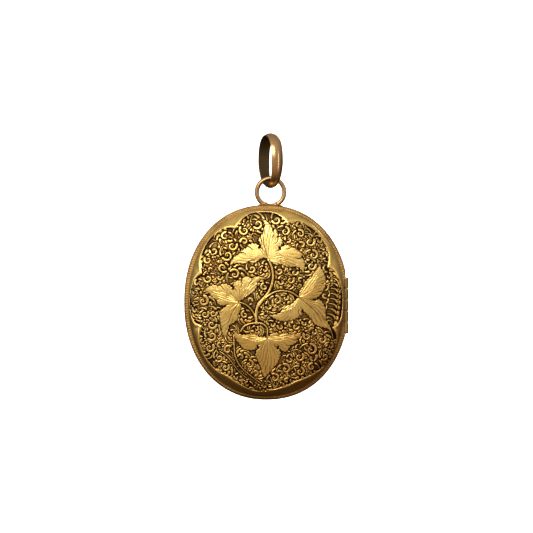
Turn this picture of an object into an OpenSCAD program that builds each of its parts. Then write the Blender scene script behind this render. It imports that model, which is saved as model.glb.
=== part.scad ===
// Oval hinged locket that hangs from a turned bail.
//
// Millimetres, +Z up. The front cover faces -Y, and the hinge is on the +X side.
// The origin is the highest point of the bail's inner face, where a chain bears.
// The case is built round its own centre, with the parting plane at y = 0, and is
// then moved to hang under the bail.

/* [Case] */
// Width of the closed case across the rims
case_w = 36.4; // [35:0.1:38]
// Height of the closed case across the rims
case_h = 43; // [42:0.1:45]
// Thickness of the closed case, front crown to back flat
case_t = 9.5; // [9.4:0.1:10]
// Squareness of the oval outline, where 2 is a true ellipse
squareness = 2.15; // [2:0.05:2.3]
// Thickness of the sheet gold in both covers
sheet = 0.45; // [0.35:0.05:0.55]
// Width of each cover's rounded shoulder, seen from the front
shoulder_w = 3; // [2.6:0.1:3.4]
// How far each cover's face rises from shoulder to centre
crown = 0.9; // [0.6:0.1:1.1]
// Share of the back cover's face that is flat, for resting
back_flat = 0.5; // [0.4:0.05:0.6]

/* [Rims] */
// How far the rims stand out past the covers
rim_ledge = 0.9; // [0.7:0.1:1]
// Distance from the parting plane to a rim's outer face
rim_t = 0.9; // [0.85:0.05:1]
// Width of a rim's full-height outer band
band_w = 2.1; // [2:0.1:2.3]
// Width of a whole rim, from the outline to its aperture
rim_w = 4.6; // [4.4:0.1:4.8]
// Radius of the thumbnail's notch, cut into the front rim from behind
nail_r = 3.2; // [2.6:0.1:3.6]

/* [Hinge] */
// Outer diameter of the hinge barrel
barrel_d = 1.3; // [1.2:0.05:1.4]
// Length of the hinge barrel
barrel_l = 12.4; // [11.8:0.1:13]
// How far the hinge's middle lies below the case's middle
hinge_drop = 0.7; // [0:0.1:1]
// Diameter of the hinge pin
pin_d = 0.7; // [0.6:0.02:0.76]
// Number of knuckles, counting both covers'
knuckles = 5; // [3, 5, 7]

/* [Suspension] */
// Outer diameter of the suspension ring
ring_d = 7.1; // [6.8:0.1:7.4]
// Diameter of the ring's wire
ring_wire = 1.04; // [0.96:0.02:1.1]
// How far the ring stands to the right of the case's centre line
ring_offset = 0.9; // [0:0.1:1.2]
// Height of the bail
bail_h = 12.2; // [11.8:0.1:12.6]
// Depth of the bail across its loop
bail_d = 8; // [7.6:0.1:8.2]
// Width of the bail's band at its bottom, where the ring hangs
bail_w = 2.3; // [2:0.1:2.4]
// Width of that band at its middle and top
bail_top_w = 2.8; // [2.4:0.1:2.8]
// Thickness of the bail's band at its middle
bail_t = 0.7; // [0.6:0.05:0.75]
// Turn of the bail about the vertical, from square to the case
bail_turn = 26; // [15:1:27]

/* [Hidden] */

sides = 72;                 // straight sides in every oval outline
bail_power = 2.2;           // squareness of the bail's loop
seam = 0.05;                // each rim stops this short of the parting plane
fit = 0.07;                 // clearance between parts that move past each other
barrel_inset = 0.1;         // from the outline's widest point to the barrel
pin_clearance = 0.02;       // radial, in every knuckle
knuckle_gap = 0.06;         // between neighbouring knuckles
ledge_y = 0.5;              // depth of the ledge inside the rim's band
lip_t = 0.32;               // thickness of the snap lip's wall
lip_reach = 0.42;           // how far the snap lip stands past the parting plane
bezel_face = 0.15;          // depth of a bezel's outer face
bezel_wall = 0.35;          // thickness of a bezel's neck
bezel_sight = 0.55;         // overlap of a bezel on its glass
glass_t = 0.6;
picture_t = 0.25;
card_t = 0.5;
stack_gap = 0.03;           // between the pieces stacked in a bezel
bail_edge = 0.35;           // thickness of the bail's band along its edges
ring_play = 0.95;           // drop from the ring's wire to the bail's inner face
ring_sunk = 0.19;           // depth of the wire's centre below the top of the case
foot_w = 5.4;               // length of the ring's soldered foot
foot_h = 0.3;               // height of that foot over the rims
foot_t = 1.1;               // thickness of that foot, front to back
nail_depth = 0.45;          // of the thumbnail's notch, inwards and forwards

half_w = case_w / 2;
half_h = case_h / 2;
half_t = case_t / 2;
foot_rx = half_w - rim_ledge;
foot_rz = half_h - rim_ledge;
shoulder_h = half_t - rim_t - crown;

barrel_r = barrel_d / 2;
hinge_x = half_w - barrel_inset - barrel_r;
pitch = barrel_l / knuckles;

ring_r = (ring_d - ring_wire) / 2;
ring_y = ring_wire / 2 + fit;
loop_rz = bail_h / 2 - bail_t;
loop_rv = bail_d / 2 - bail_t;
wire_z = -2 * loop_rz + ring_play + ring_wire / 2;
ring_z = wire_z - ring_r;
case_z = ring_z - ring_r + ring_sunk - half_h;

// One point of a superellipse, at an angle
function oval_point(rx, ry, power, angle) = [
    rx * sign(cos(angle)) * pow(abs(cos(angle)), 2 / power),
    ry * sign(sin(angle)) * pow(abs(sin(angle)), 2 / power)
];

// The case's outline, moved inwards by an inset
function outline(inset) = [
    for (i = [0 : sides - 1])
        oval_point(half_w - inset, half_h - inset, squareness, 360 * i / sides)
];

// Oval plate between two depths. Depth grows towards the back.
module plate(inset, near, far) {
    translate([0, far, 0])
        rotate([90, 0, 0])
            linear_extrude(far - near)
                polygon(outline(inset));
}

// Oval ring between two insets and two depths
module band(outer, inner, near, far) {
    difference() {
        plate(outer, near, far);
        plate(inner, near - 1, far + 1);
    }
}

// Upright cylinder on the hinge's axis, between two heights from the hinge's middle
module on_hinge(radius, low, high) {
    translate([hinge_x, 0, low - hinge_drop])
        cylinder(r = radius, h = high - low, $fn = 48);
}

// Moves what is built round the case's centre to its place under the bail
module in_case() {
    translate([-ring_offset, -ring_y, case_z])
        children();
}

// ---------- covers ----------

shoulder_steps = 6;
crown_steps = 4;

// [x radius, z radius, height] of each ring of a cover's outer face, where thin is
// how far the whole face is drawn in, and flat is the share of the face left flat
function cover_rings(thin, flat) = let (
    rx = foot_rx - thin,
    rz = foot_rz - thin,
    face = 1 - shoulder_w / rx,
    rise = shoulder_h - thin
) concat(
    [for (i = [0 : shoulder_steps]) let (
        angle = 90 * i / shoulder_steps,
        share = 1 - (1 - face) * (1 - cos(angle))
    ) [rx * share, rz * share, rim_t + rise * sin(angle)]],
    [for (i = [1 : crown_steps]) let (
        done = i / crown_steps,
        share = face * (1 - (1 - flat) * done)
    ) [rx * share, rz * share, rim_t + rise + crown * (1 - pow(1 - done, 2))]]
);

// Points of those rings, with the front cover's height along -Y
function ring_points(rings) = [
    for (r = rings)
        for (i = [0 : sides - 1])
            let (p = oval_point(r[0], r[1], squareness, 360 * i / sides))
                [p[0], -r[2], p[1]]
];

// Quads between neighbouring rings, from point number start on
function ring_quads(start, count, flip) = [
    for (k = [0 : count - 2])
        for (i = [0 : sides - 1]) let (
            j = (i + 1) % sides,
            a = start + k * sides + i,
            b = start + k * sides + j,
            quad = [a, b, b + sides, a + sides]
        ) flip ? [quad[3], quad[2], quad[1], quad[0]] : quad
];

// Domed shell of a cover, open at its foot, facing -Y
module cover_shell(flat) {
    outer = cover_rings(0, flat);
    inner = cover_rings(sheet, flat);
    count = len(outer);
    second = count * sides;
    last = (count - 1) * sides;
    polyhedron(
        points = concat(ring_points(outer), ring_points(inner)),
        faces = concat(
            ring_quads(0, count, false),
            ring_quads(second, count, true),
            [[for (i = [0 : sides - 1]) last + i]],
            [[for (i = [0 : sides - 1]) second + last + sides - 1 - i]],
            [for (i = [0 : sides - 1]) let (j = (i + 1) % sides)
                [j, i, second + i, second + j]]
        )
    );
}

module front_cover() {
    color("goldenrod")
        in_case()
            cover_shell(0.12);
}

module back_cover() {
    color("goldenrod")
        in_case()
            mirror([0, 1, 0])
                cover_shell(back_flat);
}

// ---------- rims, snap lip and hinge ----------

// Height of knuckle i's lower end
function knuckle_z(i) = -barrel_l / 2 + i * pitch;

// Rim on the front side. It carries the odd knuckles if odd is true, or else the even ones.
module rim(odd) {
    difference() {
        union() {
            band(0, band_w, -rim_t, -seam);
            band(band_w - 0.01, rim_w, -rim_t, -ledge_y);
        }
        for (i = [0 : knuckles - 1])
            on_hinge(
                (i % 2 == 1) == odd ? barrel_r : barrel_r + fit,
                knuckle_z(i) - knuckle_gap,
                knuckle_z(i) + pitch + knuckle_gap
            );
        translate([hinge_x - barrel_r / 2, -2, -hinge_drop - barrel_l / 2 - knuckle_gap])
            cube([4, 4, barrel_l + 2 * knuckle_gap]);
        translate([hinge_x, -2, -barrel_l])
            cube([4, 4, 2 * barrel_l]);
    }
}

module front_rim() {
    color("darkgoldenrod")
        in_case()
            difference() {
                rim(true);
                translate([-half_w - nail_r + nail_depth, -nail_depth, 0])
                    rotate([-90, 0, 0])
                        cylinder(r = nail_r, h = 1, $fn = 48);
            }
}

module back_rim() {
    color("darkgoldenrod")
        in_case()
            mirror([0, 1, 0])
                rim(false);
}

module snap_lip() {
    color("darkgoldenrod")
        in_case()
            band(band_w + fit, band_w + fit + lip_t, -lip_reach, ledge_y);
}

module knuckle(i) {
    color("darkgoldenrod")
        in_case()
            difference() {
                on_hinge(barrel_r, knuckle_z(i) + knuckle_gap / 2, knuckle_z(i) + pitch - knuckle_gap / 2);
                on_hinge(pin_d / 2 + pin_clearance, -barrel_l, barrel_l);
            }
}

module hinge_pin() {
    color("peru")
        in_case()
            on_hinge(pin_d / 2, -barrel_l / 2, barrel_l / 2);
}

// ---------- glazed frames ----------

bezel_in = rim_w + fit / 2;             // inset of the neck's outer face
stack_in = bezel_in + bezel_wall;       // inset of the glass, picture and card
flange_in = band_w + 2 * fit + lip_t;   // inset of the flange's outer edge
glass_y = ledge_y + stack_gap;
picture_y = glass_y + glass_t + stack_gap;
card_y = picture_y + picture_t + stack_gap;
neck_y = card_y + card_t;

// Frame that snaps into the front rim's aperture
module bezel() {
    band(flange_in, stack_in + bezel_sight, -ledge_y, -bezel_face);
    band(bezel_in, stack_in, -neck_y, -ledge_y);
}

// Oval pane in the front bezel, between two depths
module pane(near, far) {
    plate(stack_in + stack_gap, -far, -near);
}

module front_bezel() {
    color("gold")
        in_case()
            bezel();
}

module back_bezel() {
    color("gold")
        in_case()
            mirror([0, 1, 0])
                bezel();
}

module front_glass() {
    color("lightcyan", 0.35)
        in_case()
            pane(glass_y, glass_y + glass_t);
}

module back_glass() {
    color("lightcyan", 0.35)
        in_case()
            mirror([0, 1, 0])
                pane(glass_y, glass_y + glass_t);
}

module front_picture() {
    color("antiquewhite")
        in_case()
            pane(picture_y, picture_y + picture_t);
}

module back_picture() {
    color("antiquewhite")
        in_case()
            mirror([0, 1, 0])
                pane(picture_y, picture_y + picture_t);
}

module front_card() {
    color("tan")
        in_case()
            pane(card_y, card_y + card_t);
}

module back_card() {
    color("tan")
        in_case()
            mirror([0, 1, 0])
                pane(card_y, card_y + card_t);
}

// ---------- suspension ----------

module ring_torus() {
    translate([0, 0, ring_z])
        rotate([90, 0, 0])
            rotate_extrude($fn = 96)
                translate([ring_r, 0])
                    circle(d = ring_wire, $fn = 32);
}

// The ring's wire is filed to the case's outline, where it is soldered on
module suspension_ring() {
    color("rosybrown")
        difference() {
            ring_torus();
            in_case()
                plate(0, -3, 3);
        }
}

module ring_foot() {
    color("rosybrown")
        difference() {
            intersection() {
                in_case()
                    band(-foot_h, 0, seam, seam + foot_t);
                translate([-foot_w / 2, -foot_t, ring_z - 2 * ring_r])
                    cube([foot_w, 2 * foot_t, 2 * ring_r]);
            }
            ring_torus();
        }
}

bail_stations = 56;
bail_arc = 7;               // points across the band's rounded face

// Outward normal of the bail's inner loop at an angle, as [v, z]
function loop_normal(angle) = let (
    p = oval_point(1, 1, bail_power, angle),
    g = [
        sign(p[0]) * pow(abs(p[0]), bail_power - 1) / loop_rv,
        sign(p[1]) * pow(abs(p[1]), bail_power - 1) / loop_rz
    ]
) g / norm(g);

// The band's width at a height over its bottom, given as a share of the loop's height
function bail_width(share) = let (t = min(1, 2 * share))
    bail_w + (bail_top_w - bail_w) * t * t * (3 - 2 * t);

// The band's section as [across, out]: flat inside and rounded outside, and 1 wide
bail_section = concat(
    [[0.5, 0], [-0.5, 0]],
    [for (i = [0 : bail_arc - 1]) let (
        angle = 180 * i / (bail_arc - 1)
    ) [-cos(angle) / 2, bail_edge + (bail_t - bail_edge) * sin(angle)]]
);

module bail() {
    count = len(bail_section);
    color("rosybrown")
        rotate([0, 0, bail_turn])
            translate([0, 0, -loop_rz])
                polyhedron(
                    points = [
                        for (k = [0 : bail_stations - 1]) let (
                            angle = 360 * k / bail_stations,
                            p = oval_point(loop_rv, loop_rz, bail_power, angle),
                            n = loop_normal(angle),
                            width = bail_width((1 + p[1] / loop_rz) / 2)
                        )
                            for (s = bail_section)
                                [width * s[0], p[0] + n[0] * s[1], p[1] + n[1] * s[1]]
                    ],
                    faces = [
                        for (k = [0 : bail_stations - 1])
                            for (i = [0 : count - 1]) let (
                                next = (k + 1) % bail_stations,
                                j = (i + 1) % count
                            ) [k * count + i, k * count + j, next * count + j, next * count + i]
                    ]
                );
}

bail();
suspension_ring();
ring_foot();
back_cover();
back_rim();
snap_lip();
back_bezel();
back_glass();
back_picture();
back_card();
knuckle(4);  // hinge_knuckle_top
knuckle(2);  // hinge_knuckle_middle
knuckle(0);  // hinge_knuckle_bottom
hinge_pin();
front_cover();
front_rim();
front_bezel();
front_glass();
front_picture();
front_card();
knuckle(3);  // front_knuckle_upper
knuckle(1);  // front_knuckle_lower
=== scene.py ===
"""Oval engraved locket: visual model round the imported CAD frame.

Relief and outlines are drawn in millimetres from the case's centre, with x to the right and
z up, and are moved to their place in metres. Depths grow towards the viewer on the front.
"""
import itertools
import math

import bmesh
import bpy
import numpy as np
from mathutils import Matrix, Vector


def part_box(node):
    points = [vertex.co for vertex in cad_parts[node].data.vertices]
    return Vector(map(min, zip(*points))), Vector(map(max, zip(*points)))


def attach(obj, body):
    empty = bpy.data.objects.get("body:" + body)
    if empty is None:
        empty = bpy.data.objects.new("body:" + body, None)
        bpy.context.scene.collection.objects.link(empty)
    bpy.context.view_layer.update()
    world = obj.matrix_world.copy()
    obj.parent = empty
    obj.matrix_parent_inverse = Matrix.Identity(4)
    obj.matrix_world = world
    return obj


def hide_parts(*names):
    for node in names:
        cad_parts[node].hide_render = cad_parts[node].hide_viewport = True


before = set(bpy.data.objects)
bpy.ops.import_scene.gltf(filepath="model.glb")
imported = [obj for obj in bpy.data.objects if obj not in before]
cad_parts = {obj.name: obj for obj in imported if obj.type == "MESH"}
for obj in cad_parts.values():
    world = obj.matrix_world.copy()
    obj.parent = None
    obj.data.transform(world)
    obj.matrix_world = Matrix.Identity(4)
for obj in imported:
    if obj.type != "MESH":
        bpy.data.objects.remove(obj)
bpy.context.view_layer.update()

MM = 0.001

# ---------- places, read from the frame ----------

back_low, back_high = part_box("back_cover")
front_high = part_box("front_cover")[1]
rim_low, rim_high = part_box("back_rim")
pin_low, pin_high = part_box("hinge_pin")
knuckle_low, knuckle_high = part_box("hinge_knuckle_middle")
ring_low, ring_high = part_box("suspension_ring")

CASE_X = (back_low.x + back_high.x) / 2
CASE_Z = (back_low.z + back_high.z) / 2
CASE_Y = (front_high.y + back_low.y) / 2            # the parting plane
HALF_H = (rim_high.z - rim_low.z) / 2 / MM
HALF_W = (CASE_X - rim_low.x) / MM
FOOT_W = (back_high.x - back_low.x) / 2 / MM        # half size of the covers at their foot
FOOT_H = (back_high.z - back_low.z) / 2 / MM
RIM_T = (back_low.y - CASE_Y) / MM                  # from the parting plane to a cover's foot
HALF_T = (back_high.y - CASE_Y) / MM
HINGE_X = ((pin_low.x + pin_high.x) / 2 - CASE_X) / MM
HINGE_Z = ((pin_low.z + pin_high.z) / 2 - CASE_Z) / MM
BARREL_L = (pin_high.z - pin_low.z) / MM
BARREL_R = (knuckle_high.x - knuckle_low.x) / 2 / MM

SQUARENESS = 2.15           # of the oval outline
SHOULDER = 3.0              # width of a cover's rounded shoulder
CROWN = 0.9                 # rise of its face from shoulder to centre
SHEET = 0.42                # thickness of the sheet gold
INNER_DROP = SHEET + 0.12   # from the plain dome to the inner face, to leave room for the cuts

# Details of the CAD that its boxes don't give, in millimetres
KNUCKLES = 5
KNUCKLE_GAP = 0.06
FIT = 0.07
PIN_R = 0.35
NAIL_R = 3.2
NAIL_DEPTH = 0.45
BAIL_TURN = 26              # degrees about z
BAIL_W = 2.3                # width of the bail's band at its bottom
BAIL_TOP_W = 2.8
BAIL_T = 0.7
BAIL_POWER = 2.2
LOOP_V = 3.3                # half sizes of the bail's opening
LOOP_Z = 5.4
WIRE_R = (ring_high.y - ring_low.y) / 2 / MM
RING_R = (ring_high.x - ring_low.x) / 2 / MM - WIRE_R
RING_Z = ring_high.z / MM - RING_R - WIRE_R

FRONT_CELLS = 560           # quads across a cover's outer face
BACK_CELLS = 420

# Camera and light
CAMERA_AWAY = 0.8
FRAME_WIDE = 0.1176         # width of the view at the case
AIM_Z = -0.0288
SWEEP_GLOW = 0.85
SKY_GLOW = 0.44             # the world's light from above, from the front and from below
FRONT_GLOW = 0.40
LOW_GLOW = 0.055
LOW_TINT = (1, 0.70, 0.42)
HIGH_TINT = (1, 0.97, 0.91)


# ---------- relief drawing, in millimetres from the case's centre ----------

CELL = 0.045                # raster step of every relief
GROUND = -0.26              # the sunk ground between the scrolls
SCROLL_H = 0.30             # height of a coil's ridge over the ground
LOBE_H = 0.92 * SCROLL_H    # and of the lobes and commas round it
RIDGE_SIDE = 0.13           # width of a ridge's sloping side
SMALL_COIL = 0.68           # radius of the coils that fill gaps
COMMA_LONG = 1.9
FEATHER_H = SCROLL_H + 0.05
STEM_H = SCROLL_H + 0.08
LEAF_H = 0.33               # height of a leaf's face over the ground
TOOTH_DEPTH = 0.22          # of the small forward teeth on a leaf's edge
TOOTH_PITCH = 0.80
VEIN_DEPTH = 0.05
MIDRIB_DEPTH = 0.17
NICK_DEPTH = 0.24           # of the cuts at a leaf's points and notches
HOLE_DEPTH = 0.75
LIP_H = 0.14                # rise of the raised lip over the plain dome
DEEPEST = -0.38             # lowest that a cut may go, to leave metal under it
FAR = 9.0                   # stands for a distance that nothing is near


def spline(points, steps=8, closed=False):
    """Catmull-Rom curve through points. A point given as (x, z, 0) is a sharp corner."""
    p = [np.array(q[:2], float) for q in points]
    sharp = [len(q) > 2 for q in points]
    n = len(p)
    out = []
    for i in range(n if closed else n - 1):
        j = (i + 1) % n
        before = p[i - 1] if (i > 0 or closed) and not sharp[i] else p[i]
        after = p[(j + 1) % n] if (j < n - 1 or closed) and not sharp[j] else p[j]
        for k in range(steps):
            t = k / steps
            out.append(0.5 * (
                2 * p[i] + (p[j] - before) * t
                + (2 * before - 5 * p[i] + 4 * p[j] - after) * t * t
                + (3 * p[i] - before - 3 * p[j] + after) * t ** 3
            ))
    if not closed:
        out.append(p[-1])
    return np.array(out)


def smooth(value, low, high):
    t = np.clip((value - low) / (high - low), 0, 1)
    return t * t * (3 - 2 * t)


def blur(field, radius):
    """Box blur, twice, by running sums."""
    n = max(1, int(round(radius / CELL)))
    for _ in range(2):
        for axis in (0, 1):
            margins = [(n + 1, n) if a == axis else (0, 0) for a in (0, 1)]
            padded = np.pad(field, margins, mode="edge")
            total = np.cumsum(padded, axis)
            high = np.take(total, range(2 * n + 1, total.shape[axis]), axis)
            low = np.take(total, range(0, total.shape[axis] - 2 * n - 1), axis)
            field = (high - low) / (2 * n + 1)
    return field


class Relief:
    """A height raster that strokes and shapes are stamped into.

    Strokes that crowd each other stay apart: each cell keeps how far it lies from the edge
    of its nearest stroke and of the next one, and a groove follows the line between them.
    """

    def __init__(self, half_x, half_z):
        self.xs = np.arange(-half_x, half_x + CELL, CELL)
        self.zs = np.arange(-half_z, half_z + CELL, CELL)
        shape = (len(self.zs), len(self.xs))
        self.first = np.full(shape, FAR)
        self.second = np.full(shape, FAR)
        self.bump = np.zeros(shape)
        self.settled = np.full(shape, FAR)
        self.height = np.zeros(shape)
        self.cuts = np.zeros(shape)
        self.keep = np.ones(shape)

    def window(self, path, reach):
        """Slices of the raster within reach of a path."""
        low = path.min(0) - reach
        high = path.max(0) + reach
        i0, i1 = np.searchsorted(self.xs, [low[0], high[0]])
        j0, j1 = np.searchsorted(self.zs, [low[1], high[1]])
        return slice(j0, j1), slice(i0, i1)

    def near(self, path, reach, closed=False):
        """Window round a path, with each cell's distance to it and its share along it."""
        rows, cols = self.window(path, reach)
        x, z = np.meshgrid(self.xs[cols], self.zs[rows])
        best = np.full(x.shape, FAR * FAR)
        share = np.zeros(x.shape)
        ends = np.roll(path, -1, 0) if closed else path[1:]
        count = len(ends)
        for k in range(count):
            a = path[k]
            d = ends[k] - a
            long2 = max(d @ d, 1e-12)
            rx, rz = x - a[0], z - a[1]
            t = np.clip((rx * d[0] + rz * d[1]) / long2, 0, 1)
            dist2 = (rx - t * d[0]) ** 2 + (rz - t * d[1]) ** 2
            nearer = dist2 < best
            best = np.where(nearer, dist2, best)
            share = np.where(nearer, (k + t) / count, share)
        return rows, cols, np.sqrt(best), share

    def stroke(self, path, wide, narrow, height):
        """Rounded ridge along a path, from its wide start to its narrow end."""
        reach = max(wide, narrow) + 0.25
        rows, cols, dist, share = self.near(path, reach)
        half = wide + (narrow - wide) * share
        edge = dist - half
        top = height * (0.6 + 0.4 * half / max(wide, narrow))
        bump = top * smooth(half - dist, 0, RIDGE_SIDE) * (1 - 0.07 * np.clip(dist / half, 0, 1) ** 2)
        first, second = self.first[rows, cols], self.second[rows, cols]
        nearer = edge < first
        self.second[rows, cols] = np.where(nearer, first, np.minimum(second, edge))
        self.first[rows, cols] = np.where(nearer, edge, first)
        self.bump[rows, cols] = np.where(nearer, bump, self.bump[rows, cols])

    def settle(self):
        """Fixes the strokes drawn so far, with a groove where two meet. Later ones give way to them."""
        grooved = self.bump * smooth(self.second - self.first, 0.02, 0.20)
        self.height = np.maximum(self.height, grooved * smooth(self.settled, 0.05, 0.15))
        self.settled = np.minimum(self.settled, self.first)
        self.first[:] = FAR
        self.second[:] = FAR
        self.bump[:] = 0

    def cut(self, path, wide, narrow, depth):
        """V-shaped cut along a path."""
        rows, cols, dist, share = self.near(path, max(wide, narrow))
        half = wide + (narrow - wide) * share
        groove = depth * np.clip(1 - dist / half, 0, 1)
        self.cuts[rows, cols] = np.maximum(self.cuts[rows, cols], groove)

    def clear(self, path, half):
        """Takes the scrolls away from a strip along a path."""
        rows, cols, dist, _ = self.near(path, half * 1.6)
        self.keep[rows, cols] = np.minimum(self.keep[rows, cols], smooth(dist, half, half * 1.4))

    def signed(self, outline, reach, tooth=0.0, pitch=1.0):
        """Window round a closed outline, with the distance to it, positive inside.

        Tooth is the depth of the small forward teeth that the edge is given, a pitch apart.
        """
        rows, cols, dist, share = self.near(outline, reach, closed=True)
        x, z = np.meshgrid(self.xs[cols], self.zs[rows])
        inside = np.zeros(x.shape, bool)
        ends = np.roll(outline, -1, 0)
        for a, b in zip(outline, ends):
            if a[1] == b[1]:
                continue
            crosses = (a[1] > z) != (b[1] > z)
            inside ^= crosses & (x < a[0] + (z - a[1]) * (b[0] - a[0]) / (b[1] - a[1]))
        value = np.where(inside, dist, -dist)
        if tooth:
            run = np.concatenate([[0], np.cumsum(np.hypot(*(ends - outline).T))])
            phase = np.interp(share * len(outline), np.arange(len(run)), run) / pitch % 1
            value = value - tooth * (1 - phase) ** 1.5 * (dist < 3 * tooth + 0.2)
        return rows, cols, value

    def free(self, x, z, reach, allowed, share):
        """True if a disc lies on allowed ground and strokes cover at most a share of it."""
        i0, i1 = np.searchsorted(self.xs, [x - reach, x + reach])
        j0, j1 = np.searchsorted(self.zs, [z - reach, z + reach])
        patch = allowed[j0:j1, i0:i1]
        if patch.size == 0 or patch.mean() < 0.8:
            return False
        taken = (self.first[j0:j1, i0:i1] < 0.04) | (self.settled[j0:j1, i0:i1] < 0.10)
        return taken.mean() < share


# ---------- scrollwork ----------


def polar(x, z, radius, angle):
    """Points at radii and angles round a centre."""
    return np.stack([x + radius * np.cos(angle), z + radius * np.sin(angle)], 1)


def coil(relief, x, z, size, start, hand):
    """Fat spiral that curls in to a bulb, with a tail that leaves it backwards."""
    a0 = np.radians(start)
    t = np.linspace(0, 1, 30)
    turns = 1.05 if size > 0.8 else 0.8
    spiral = polar(x, z, size * (1 - 0.72 * t ** 0.9), a0 + hand * 2 * np.pi * turns * t)
    relief.stroke(spiral, 0.29 + 0.06 * size, 0.20, SCROLL_H)
    relief.stroke(np.array([[x, z], [x + 0.03, z]]), 0.23 * size, 0.23 * size, SCROLL_H)
    t = np.linspace(0, 1, 10)
    relief.stroke(polar(x, z, size * (1 + 1.15 * t), a0 - hand * 1.5 * t), 0.34, 0.10, SCROLL_H)


def petals(relief, x, z, size, start, hand, count):
    """Fan of lobes that curl the same way round a coil's back."""
    for k in range(count):
        a = np.radians(start) + hand * (0.45 + k * 4.6 / count)
        s = np.linspace(0, 1, 7)
        turn = a + hand * 1.05 * s ** 1.3 / max(size, 0.6)
        relief.stroke(polar(x, z, size + 0.42 + 1.15 * s, turn), 0.38, 0.11, LOBE_H)


def comma(relief, x, z, scroll):
    """Crescent that follows a coil's turn."""
    s = np.linspace(-0.5, 0.5, 6)
    turn = np.arctan2(z - scroll[1], x - scroll[0]) + scroll[4] * (0.9 + 1.3 * s)
    relief.stroke(polar(x, z, COMMA_LONG * s, turn), 0.33, 0.09, LOBE_H)


def shuffled_grid(relief, pitch, rng):
    """Places a pitch apart over the whole raster, in a random order."""
    across = np.arange(relief.xs[0], relief.xs[-1], pitch)
    up = np.arange(relief.zs[0], relief.zs[-1], pitch)
    x, z = np.meshgrid(across, up)
    places = np.stack([x.ravel(), z.ravel()], 1)
    rng.shuffle(places)
    return places


def scrollwork(relief, scrolls, allowed, seed):
    """Coils first, then lobes round them, then small coils and commas that fill what is free."""
    for x, z, size, start, hand in scrolls:
        coil(relief, x, z, size, start, hand)
    relief.settle()
    for x, z, size, start, hand in scrolls:
        petals(relief, x, z, size, start, hand, 6)
    rng = np.random.default_rng(seed)
    for x, z in shuffled_grid(relief, 0.5, rng):
        if relief.free(x, z, 0.95, allowed, 0.12):
            coil(relief, x, z, SMALL_COIL, rng.uniform(0, 360), 1 if rng.random() < 0.5 else -1)
    centres = np.array([s[:2] for s in scrolls])
    for x, z in shuffled_grid(relief, 0.24, rng):
        if relief.free(x, z, 0.46, allowed, 0.10):
            nearest = np.argmin(np.hypot(*((x, z) - centres).T))
            comma(relief, x, z, scrolls[nearest])
    relief.settle()


def cavity_of(height):
    """How far a place lies below what is round it, from 0 to 1; the gold is darkened there with grime and
    painted shade.
    """
    near_low = np.clip((blur(height, 0.18) - height) / 0.10, 0, 1)
    wide_low = np.clip((blur(height, 0.45) - height) / 0.13, 0, 1)
    sunk = smooth(-height, 0.10, 0.24)
    return np.clip(0.58 * near_low + 0.46 * wide_low + 0.40 * sunk, 0, 1)


# ---------- front cover's design ----------

# The raised lip: eight lobes that meet in inward cusps, which are the sharp points
LIP = [
    (-6.8, 16.4, 0), (-5.6, 18.3), (-3.6, 19.7), (-0.9, 20.1), (1.8, 19.8), (3.6, 18.8),
    (4.6, 17.5, 0), (7.0, 18.0), (9.6, 16.8), (11.6, 15.1), (13.2, 12.7), (13.9, 10.2),
    (13.5, 7.7, 0), (15.0, 7.0), (16.2, 4.8), (16.9, 1.5), (16.8, -1.9), (16.2, -4.2),
    (14.6, -5.6, 0), (15.5, -7.2), (15.4, -9.4), (14.4, -12.4), (12.6, -14.4), (9.6, -16.2),
    (6.2, -17.5, 0), (4.2, -18.5), (0.0, -19.6), (-2.8, -19.5), (-6.0, -18.0),
    (-8.7, -16.1, 0), (-10.8, -15.1), (-12.8, -13.2), (-14.1, -11.0), (-14.9, -8.2),
    (-14.4, -5.2, 0), (-16.0, -4.3), (-17.0, -1.8), (-17.1, 0.8), (-16.7, 3.4), (-15.8, 5.4),
    (-14.3, 6.4, 0), (-14.7, 9.2), (-13.9, 12.0), (-12.4, 14.3), (-10.3, 16.0), (-8.4, 16.6),
]

# Each leaf's outline, clockwise from its stem, with teeth and notches as sharp points
TOP_LEAF = [
    (0.3, 9.5, 0), (-0.6, 9.7), (-1.5, 9.3), (-2.4, 8.6), (-3.2, 8.5), (-3.8, 8.9, 0), (-5.0, 8.4),
    (-6.6, 8.5), (-7.6, 8.2), (-8.1, 7.7, 0), (-7.9, 9.0), (-7.2, 10.0), (-5.9, 10.8, 0),
    (-6.0, 11.0), (-5.3, 11.6), (-4.3, 12.2, 0), (-4.3, 12.5), (-3.4, 13.0), (-2.4, 13.0),
    (-1.6, 12.6), (-1.3, 12.0, 0), (-1.5, 12.8), (-1.9, 13.6), (-1.6, 14.3, 0), (-0.9, 15.2),
    (-0.6, 16.2), (-0.5, 17.2), (-1.1, 18.4, 0), (0.0, 18.0), (0.9, 17.2), (1.3, 16.4),
    (1.5, 15.7, 0), (1.9, 16.4), (2.3, 15.9), (2.6, 15.0), (2.5, 14.2, 0), (3.0, 14.6),
    (3.5, 13.9), (3.6, 12.9), (2.9, 12.0, 0), (3.7, 12.5), (4.6, 12.7), (5.5, 12.4, 0),
    (5.7, 12.3), (6.6, 11.8), (7.4, 11.2), (8.0, 10.6), (7.7, 9.9, 0), (8.2, 9.5), (8.5, 8.4),
    (8.3, 7.0), (8.1, 5.9, 0), (7.7, 6.9), (7.0, 7.6), (6.0, 7.8, 0), (5.5, 7.6), (4.3, 7.8),
    (3.4, 8.3, 0), (2.4, 8.1), (1.4, 8.5),
]
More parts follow.
